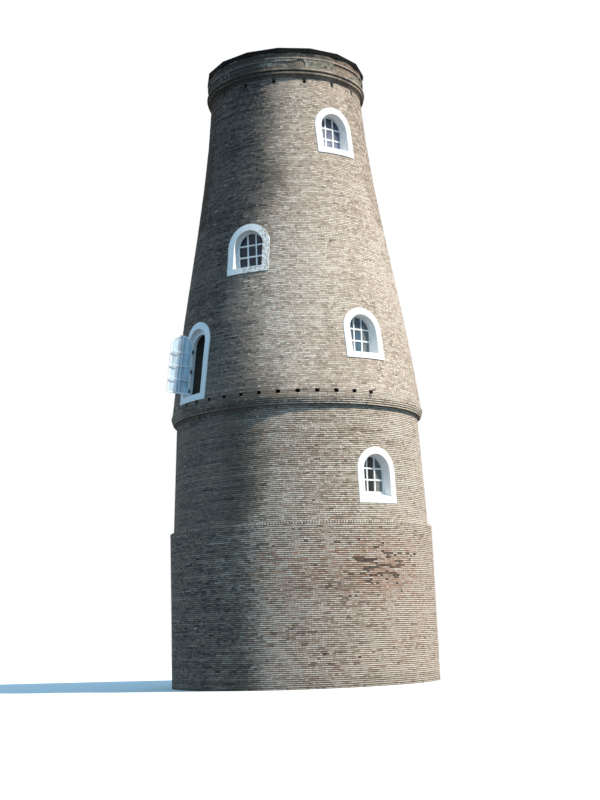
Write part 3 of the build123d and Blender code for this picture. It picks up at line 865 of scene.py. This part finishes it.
# String course: four courses that step out, two plain ones, then two with the sockets between
# their bricks
string = {
    "steppedRise": 0.235, "stepped": 4, "plain": 2, "level": 4, "sockets": 43,
    "firstSocket": 0.67, "socketWidth": 0.130, "bayBricks": 2, "bed": 0.016,
    "filled": (39, 78), "fillSlack": 0.006,
}
points = BrickPoints()
rise = string["steppedRise"] / string["stepped"]
for course in range(string["stepped"]):
    low = lowerTop + rise * course
    layRing(points, "string", low, low + rise, string["bed"], course % 2 / 2)
rise = (stringTop - lowerTop - string["steppedRise"]) / string["level"]
bay = 360 / string["sockets"]
for course in range(string["level"]):
    socketed = course >= string["plain"]
    middle = lowerTop + string["steppedRise"] + rise * (course + 0.5)
    radius = wallRadius(middle)
    room = radians(bay) * radius - (string["socketWidth"] if socketed else 0)
    length = room / string["bayBricks"] - brickwork["head"]
    for side in (-0.5, 0.5):
        turn = string["firstSocket"] + bay / 2 + degrees(side * room / 2 / radius)
        points.layCourse(string["sockets"], length, rise - string["bed"], middle,
                         turn - 180, "string")
    for index in range(string["sockets"] if socketed else 0):
        azimuth = string["firstSocket"] + bay * index
        if string["filled"][0] < seenHalf(azimuth) < string["filled"][1]:
            vertex = points.bm.verts.new(pointAt(azimuth, radius, middle))
            points.setBrick(vertex, (azimuth, string["socketWidth"] - string["fillSlack"]),
                            rise - string["bed"], radius, "string", 0, 0)
makeBricks("string_course_bricks", points)

# Crown: six corbelled courses, the wall behind the render with a course on edge in it, a flat
# capping and a collar that is painted dark, partly as the shade under the roof's edge
points = BrickPoints()
teethLow = bandLow + crown["teethLow"]
teethHigh = bandLow + crown["teethHigh"]
collarLow = bandTop + crown["capping"]
for low, high, tiersUp in (
    (upperTop, bandLow, [f"step{number}" for number in range(1, 7)]),
    (bandLow, teethLow, ["bare"]),
    (teethHigh, bandTop, ["bare"] * 2),
    (bandTop, collarLow, ["capping"]),
    (collarLow, crownTop, ["collar"] * 3),
):
    rise = (high - low) / len(tiersUp)
    for course, tier in enumerate(tiersUp):
        layRing(points, tier, low + rise * course, low + rise * (course + 1), crown["bed"],
                course % 2 / 2)
layRing(points, "teeth", teethLow, teethHigh, crown["toothBed"], 0, crown["toothWidth"],
        crown["toothGap"])
makeBricks("crown_bricks", points, "grimyBrick")
bpy.data.objects.remove(brick)


# Where a window or a door stands in the wall, from its corners
def placeOf(corners):
    azimuth = azimuthOf(sum(corners, Vector()) / len(corners))
    across = [c.dot(sideways(azimuth)) for c in corners]
    return {"azimuth": azimuth, "face": max(c.dot(outward(azimuth)) for c in corners),
            "low": min(c.z for c in corners), "high": max(c.z for c in corners),
            "width": max(across) - min(across)}


# The two places of a storey's pieces, read from its CAD node
def placesOf(node):
    corners = {tuple(round(c, 5) for c in v.co) for v in nodes[node].data.vertices}
    corners = [Vector(c) for c in corners]
    first = corners[0].xy
    return [placeOf([c for c in corners if (c.xy.dot(first) > 0) == near])
            for near in (True, False)]


# The lower windows have a deep sloping sill, with a rail of its own above it
sill = {"rise": 0.12, "lip": 0.004, "sunk": 0.03, "side": 0.005, "rail": 0.060, "under": 0.05}
bars = {"width": 0.048, "depth": 0.040, "setBack": 0.006, "frame": 0.062, "third": 1 / 3,
        "sunk": 0.015, "ease": 0.003}
bm = bmesh.new()
for storey in storeys:
    for place in placesOf(f"{storey}_window_frames"):
        lightWidth = place["width"] - 2 * bars["frame"]
        lightHeight = place["high"] - place["low"] - 2 * bars["frame"]
        raised = sill["rise"] if storey == "lower" else 0
        arch = lightWidth / 2
        spring = bars["frame"] + lightHeight - arch
        spot = wallMatrix(place["azimuth"], place["face"], place["low"])
        inset = bars["setBack"] + bars["depth"] / 2
        for side in (-0.5, 0.5):
            across = side * lightWidth * bars["third"]
            top = spring + sqrt(arch ** 2 - across ** 2) + bars["sunk"]
            foot = bars["frame"] + raised - bars["sunk"]
            addBox(bm, spot, (across, inset, (top + foot) / 2),
                   (bars["width"], bars["depth"], top - foot))
        for row in (1, 2):
            level = bars["frame"] + raised + (lightHeight - raised) * bars["third"] * row
            reach = arch if level < spring else sqrt(arch ** 2 - (level - spring) ** 2)
            addBox(bm, spot, (0, inset + 0.001, level),
                   (2 * (reach + bars["sunk"]), bars["depth"] - 0.002, bars["width"]))
        if raised:
            addBox(bm, spot, (0, inset - 0.004, raised + sill["rail"] / 2),
                   (lightWidth + 2 * bars["sunk"], bars["depth"] + 0.010, sill["rail"]))
easeEdges(bm, bars["ease"])
finishPiece("window_bars", bm, "paintedWood")
bm = bmesh.new()
for place in placesOf("lower_window_frames"):
    half = place["width"] / 2
    face = faceRadius(surroundTree, place["azimuth"], place["low"] - sill["under"])
    reach = sqrt(face ** 2 - half ** 2) - place["face"]
    wedge = addBox(bm, Matrix(), (0, (sill["sunk"] - reach) / 2, 0),
                   (2 * (half + sill["side"]), sill["sunk"] + reach, 2))
    for vertex in wedge:
        rise = sill["lip"] if vertex.co.y < 0 else sill["rise"]
        vertex.co.z = rise if vertex.co.z > 0 else -sill["sunk"]
    bmesh.ops.transform(bm, verts=wedge,
                        matrix=wallMatrix(place["azimuth"], place["face"], place["low"]))
finishPiece("window_sills", bm, "whitePlaster")
print("window bars and sills made")

# Axes of a door leaf, from its own CAD solid: it leans as the wall does and may stand open
leaf = {"slope": 7.3, "stile": 0.058, "bar": 0.030, "barDepth": 0.026, "sunk": 0.010,
        "levels": (0.215, 0.46, 0.705), "hinges": (0.06, 0.39, 0.73),
        "flap": (0.050, 0.003, 0.100), "ease": 0.002}


def leafMatrix(node, azimuth):
    mesh = nodes[node].data
    up = (Vector((0, 0, 1)) * cos(radians(leaf["slope"]))
          - outward(azimuth) * sin(radians(leaf["slope"])))
    flat = max(mesh.polygons, key=lambda face: face.area).normal.normalized()
    across = up.cross(flat).normalized()
    spans = []
    for axis in (across, flat, up):
        values = [v.co.dot(axis) for v in mesh.vertices]
        spans.append((min(values), max(values)))
    middle = across * sum(spans[0]) / 2 + flat * sum(spans[1]) / 2 + up * spans[2][0]
    matrix = Matrix((across, flat, up)).transposed().to_4x4()
    matrix.translation = middle
    return matrix, [high - low for low, high in spans]


bm = bmesh.new()
flaps = bmesh.new()
for place in placesOf("stage_door_frames"):
    near = cos(radians(place["azimuth"])) > 0
    node = "stage_door_leaf_near" if near else "stage_door_leaf_far"
    matrix, (width, thickness, height) = leafMatrix(node, place["azimuth"])
    lightHeight = height - 2 * leaf["stile"]
    addBox(bm, matrix, (0, 0, height / 2),
           (leaf["bar"], leaf["barDepth"], lightHeight + 2 * leaf["sunk"]))
    for share in leaf["levels"]:
        level = leaf["stile"] + lightHeight * share
        addBox(bm, matrix, (0, 0, level),
               (width - 2 * (leaf["stile"] - leaf["sunk"]), leaf["barDepth"] - 0.002,
                leaf["bar"]))
    # The hinge side is the one nearer to the frame's left post
    post = outward(place["azimuth"]) * place["face"] - sideways(place["azimuth"]) * width / 2
    post.z = matrix.translation.z
    side = 1 if matrix.to_3x3().col[0].dot(post - matrix.translation) > 0 else -1
    for share in leaf["hinges"]:
        addBox(flaps, matrix, (side * (width / 2 - leaf["flap"][0] / 2 + 0.002), 0, share * height),
               (leaf["flap"][0], thickness + 2 * leaf["flap"][1], leaf["flap"][2]))
for made in (bm, flaps):
    easeEdges(made, leaf["ease"])
finishPiece("door_leaf_bars", bm, "paintedWood")
finishPiece("door_hinge_flaps", flaps, "hingeIron")
print("door leaves finished")


def addRod(bm, start, end, radius):
    run = end - start
    spot = Matrix.Translation((start + end) / 2) @ run.to_track_quat("Z", "Y").to_matrix().to_4x4()
    bmesh.ops.create_cone(bm, cap_ends=True, segments=10, radius1=radius, radius2=radius,
                          depth=run.length + radius, matrix=spot)


# Iron left in one socket: a bar that sticks out and a bent rod that hangs from it
ironwork = {"azimuth": 34.16, "drop": 0.045, "bar": (3.70, 4.16, 0.017), "rod": 0.007,
            "bends": ((4.00, 0.0, -0.01), (4.03, -0.06, -0.15), (4.03, -0.20, -0.31),
                      (3.98, -0.25, -0.42))}
bm = bmesh.new()
level = stringTop - ironwork["drop"]


def ironPoint(radius, aside, rise):
    return (outward(ironwork["azimuth"]) * radius + sideways(ironwork["azimuth"]) * aside
            + Vector((0, 0, level + rise)))


addRod(bm, ironPoint(ironwork["bar"][0], 0, 0), ironPoint(ironwork["bar"][1], 0, 0.03),
       ironwork["bar"][2])
for first, second in zip(ironwork["bends"], ironwork["bends"][1:]):
    addRod(bm, ironPoint(*first), ironPoint(*second), ironwork["rod"])
finishPiece("socket_ironwork", bm, "iron")

# Ground door: planks and iron straps on its two leaves
planks = {"count": 8, "gap": 0.004, "thickness": 0.016, "ease": 0.003, "clear": 0.002,
          "strap": (0.50, 0.007, 0.045), "strapHeights": (0.42, 1.55)}
place = placeOf([v.co for v in nodes["ground_door_leaves"].data.vertices])
doorHeight = place["high"] - place["low"]
spot = wallMatrix(place["azimuth"], place["face"], place["low"])
bm = bmesh.new()
iron = bmesh.new()
pitch = place["width"] / planks["count"]
half = place["width"] / 2
for index in range(planks["count"]):
    middle = -half + pitch * (index + 0.5)
    for vertex in addBox(bm, Matrix(), (middle, -planks["thickness"] / 2, 0.5),
                         (pitch - planks["gap"], planks["thickness"], 1)):
        arch = sqrt(max(half ** 2 - vertex.co.x ** 2, 0))
        top = doorHeight - half + arch - planks["clear"]
        vertex.co.z = top if vertex.co.z > 0.5 else planks["clear"]
easeEdges(bm, planks["ease"])
bmesh.ops.transform(bm, matrix=spot, verts=bm.verts[:])
for side in (-1, 1):
    for height in planks["strapHeights"]:
        addBox(iron, spot, (side * (half - planks["strap"][0] / 2 - 0.01),
                            -planks["thickness"] - planks["strap"][1] / 2, height),
               planks["strap"])
easeEdges(iron, 0.002)
finishPiece("ground_door_planks", bm, "doorPlanks")
finishPiece("ground_door_straps", iron, "iron")
print("ground door finished")

# Crown render: a ring with ragged holes where it has fallen off
render = {
    "radius": (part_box("plaster_band")[1].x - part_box("plaster_band")[0].x) / 2 + 0.014,
    "thickness": 0.034, "segments": 360, "rows": 9, "clear": 0.002, "wobble": 0.006,
    "frayed": 0.008, "whole": 0.01, "footLost": (0.80, 0.55), "footUntil": (6, 20),
    "bareSpot": (11, 6), "bareFrom": (24, 42), "bareUntil": 88, "level": 0.55, "rough": 0.8,
}
bm = bmesh.new()
bmesh.ops.create_circle(bm, segments=render["segments"], radius=render["radius"],
                        matrix=levelMatrix(bandLow + render["clear"]))
edges = bm.edges[:]
rowRise = (bandTop - bandLow - 2 * render["clear"]) / render["rows"]
for row in range(render["rows"]):
    edges = [e for e in pullEdges(bm, edges, rowRise)
             if abs(e.verts[0].co.z - e.verts[1].co.z) < rowRise / 2]


# Render has gone at the foot on the shaded side, from one bare spot and from the sunny side
def renderLost(point):
    turned = seenHalf(azimuthOf(point))
    share = (point.z - bandLow) / (bandTop - bandLow)
    rough = noise.noise(point * 3.1) + 0.5 * noise.noise(point * 9)
    foot = smoothStep(*render["footLost"], share + 0.25 * rough)
    worn = foot * (1 - smoothStep(*render["footUntil"], turned)
                   + smoothStep(*shadeAndGrime["seam"], turned))
    worn += 0.9 * patch(*render["bareSpot"], turned)
    worn += 0.8 * smoothStep(*render["bareFrom"], turned) * (turned < render["bareUntil"])
    return worn + rough * 0.9 > render["level"] or rough > render["rough"]


gone = [f for f in bm.faces if renderLost(f.calc_center_median())]
bmesh.ops.delete(bm, geom=gone, context="FACES")
# Its face is uneven, and the edges of the holes are frayed, but not its top and bottom
whole = bandLow + render["whole"], bandTop - render["whole"]
for vertex in bm.verts:
    push = noise.noise(vertex.co * 6) * render["wobble"]
    shift = noise.noise_vector(vertex.co * 23) * render["frayed"]
    vertex.co += outward(azimuthOf(vertex.co)) * (push - 0.001)
    if vertex.is_boundary and whole[0] < vertex.co.z < whole[1]:
        out = outward(azimuthOf(vertex.co))
        vertex.co += shift - out * shift.dot(out)
# Every face looks outwards first, so that the thickness goes inwards from all of them
bm.normal_update()
bmesh.ops.reverse_faces(bm, faces=[
    f for f in bm.faces if f.normal.dot(outward(azimuthOf(f.calc_center_median()))) < 0])
bmesh.ops.solidify(bm, geom=bm.faces[:], thickness=render["thickness"])
faceOutwards(bm)
band = finishPiece("crown_render", bm, "greyPlaster")
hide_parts("plaster_band")
print("crown render made")

# Roof felt over the deck, then a strip over each of its laps
roofTop = topOf("roof_edge")
bm = bmesh.new()
bmesh.ops.create_circle(
    bm, cap_ends=True, segments=felt["sides"], radius=felt["corner"],
    matrix=levelMatrix(roofTop + 0.001, felt["turn"] - 90))
pullEdges(bm, bm.edges[:], -felt["skirt"])
faceOutwards(bm)
bmesh.ops.solidify(bm, geom=bm.faces[:], thickness=-felt["lift"])
inner = felt["corner"] * cos(radians(180 / felt["sides"])) - felt["clear"]
for index in range(felt["seams"]):
    seam = (index - (felt["seams"] - 1) / 2) * felt["strip"]
    half = sqrt(inner ** 2 - (abs(seam) + felt["lap"] / 2) ** 2)
    addBox(bm, Matrix(), (0, seam, roofTop + felt["lapRise"] / 2),
           (2 * half, felt["lap"], felt["lapRise"]))
faceOutwards(bm)
finishPiece("roof_felt", bm, "felt")
print("roof felt laid")

studio = {
    "sunAzimuth": 63, "sunHeight": 48, "sun": 4.9, "sunColour": (1.0, 0.90, 0.78),
    "sunAngle": 0.8, "sky": 0.92, "skyColour": (0.39, 0.70, 1.0),
    "floor": 400, "floorColour": (0.80, 0.79, 0.77), "floorGlow": (0.06, 0.06, 0.06),
    "fadeFrom": 8, "fadeTo": 60,
}
camera = {"place": (0, -42, 1.7), "lens": 59.715, "yaw": 0.161, "pitch": 9.737, "roll": 2.055}


def makeCamera():
    data = bpy.data.cameras.new("camera")
    data.lens = camera["lens"]
    data.clip_end = 1000
    seer = addObject("camera", data)
    turn = (Matrix.Rotation(radians(-camera["yaw"]), 4, "Z")
            @ Matrix.Rotation(radians(90 + camera["pitch"]), 4, "X")
            @ Matrix.Rotation(radians(-camera["roll"]), 4, "Z"))
    seer.matrix_world = Matrix.Translation(camera["place"]) @ turn
    bpy.context.scene.camera = seer


def makeSun():
    data = bpy.data.lights.new("sun", "SUN")
    data.energy = studio["sun"]
    data.color = studio["sunColour"]
    data.angle = radians(studio["sunAngle"])
    lamp = addObject("sun", data)
    height = radians(studio["sunHeight"])
    towards = pointAt(studio["sunAzimuth"], cos(height), sin(height))
    lamp.rotation_euler = towards.to_track_quat("Z", "Y").to_euler()


# White where the camera, a reflection or clear glass looks past the object
def seenWhite(s):
    seen = [s.add("ShaderNodeLightPath", output=name)
            for name in ("Is Camera Ray", "Is Glossy Ray", "Is Transmission Ray")]
    return seen[0].maths("MAXIMUM", seen[1]).maths("MAXIMUM", seen[2])


def makeSky():
    world = bpy.data.worlds.new("studio")
    bpy.context.scene.world = world
    s = Shading(world)
    fill = s.add("ShaderNodeBackground", inputs={
        "Color": (*studio["skyColour"], 1), "Strength": studio["sky"]})
    white = s.add("ShaderNodeBackground", inputs={"Color": (1, 1, 1, 1), "Strength": 1})
    both = s.add("ShaderNodeMixShader", inputs={0: seenWhite(s), 1: fill, 2: white})
    s.add("ShaderNodeOutputWorld", inputs={"Surface": both})


def makeFloor():
    bm = bmesh.new()
    bmesh.ops.create_grid(bm, x_segments=1, y_segments=1, size=studio["floor"])
    mesh = meshOf("studio_floor", bm)
    s, place = newShading("studio_floor")
    away = s.add("ShaderNodeVectorMath", {"operation": "LENGTH"}, {0: place}, "Value")
    seen = seenWhite(s)
    fade = s.between(away, studio["fadeFrom"], studio["fadeTo"]) * seen
    colour = s.mix(seen, studio["floorGlow"], studio["floorColour"])
    matt = s.add("ShaderNodeBsdfDiffuse", inputs={"Color": colour})
    white = s.add("ShaderNodeEmission", inputs={"Color": (1, 1, 1, 1), "Strength": 1})
    both = s.add("ShaderNodeMixShader", inputs={0: fade, 1: matt, 2: white})
    s.add("ShaderNodeOutputMaterial", inputs={"Surface": both})
    mesh.materials.append(s.owner)
    floor = addObject("studio_floor", mesh)
    floor.location.z = -0.002


makeCamera()
makeSun()
makeSky()
makeFloor()
bpy.context.scene.view_settings.view_transform = "Standard"
print("studio set")
